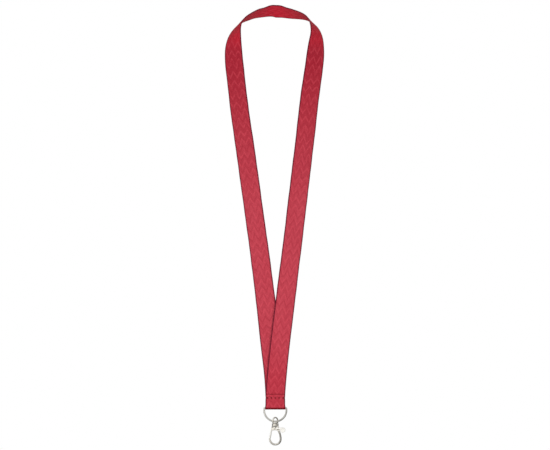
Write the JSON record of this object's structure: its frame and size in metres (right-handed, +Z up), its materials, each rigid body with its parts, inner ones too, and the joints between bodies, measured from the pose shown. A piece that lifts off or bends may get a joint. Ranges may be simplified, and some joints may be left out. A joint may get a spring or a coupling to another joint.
{
  "type": "neck lanyard",
  "caption": "Flat webbing neck loop stitched round a wire D-ring, with a swivelling trigger hook whose spring gate opens by a thumb tab.",
  "frame": {"origin": "inner face of the strap at the middle of the neck loop, where the lanyard hangs from a neck or a peg", "axes": "+Z up with the lanyard hanging, +X to the wearer's left as seen from the front, -Y to the front"},
  "size_m": [0.1012, 0.0282, 0.4473],
  "materials": {
    "webbing": "crimson woven polyester webbing, matt with a slight sheen",
    "thread": "crimson polyester sewing thread",
    "ring_wire": "nickel-plated wire",
    "cast_metal": "nickel-plated zinc casting",
    "lever_metal": "nickel-plated zinc casting, polished by the thumb",
    "spring_steel": "bright drawn steel"
  },
  "bodies": {
    "strap": {"strap_webbing": "webbing", "needle_thread": "thread", "bobbin_thread": "thread"},
    "ring": {"d_ring": "ring_wire"},
    "eye": {"swivel_eye": "cast_metal"},
    "hook": {"hook_body": "cast_metal", "gate_pin": "spring_steel", "gate_spring": "spring_steel"},
    "lever": {"gate_lever": "lever_metal"}
  },
  "joints": [
    {"name": "ring_swing", "type": "hinge", "parent": "strap", "child": "ring", "pos_m": [0.0005, 0, -0.4024], "axis": [1, 0, 0], "range_deg": [-110, 110]},
    {"name": "eye_swing", "type": "hinge", "parent": "ring", "child": "eye", "pos_m": [0.0005, 0, -0.4163], "axis": [1, 0, 0], "range_deg": [-70, 70]},
    {"name": "hook_swivel", "type": "hinge", "parent": "eye", "child": "hook", "pos_m": [0.0005, 0, -0.4186], "axis": [0, 0, 1], "continuous": true},
    {"name": "gate_open", "type": "hinge", "parent": "hook", "child": "lever", "pos_m": [-0.0008, 0, -0.4226], "axis": [0, -1, 0], "range_deg": [0, 25], "stiffness_Nm_per_rad": 0.02, "springref_deg": -20.05}
  ]
}
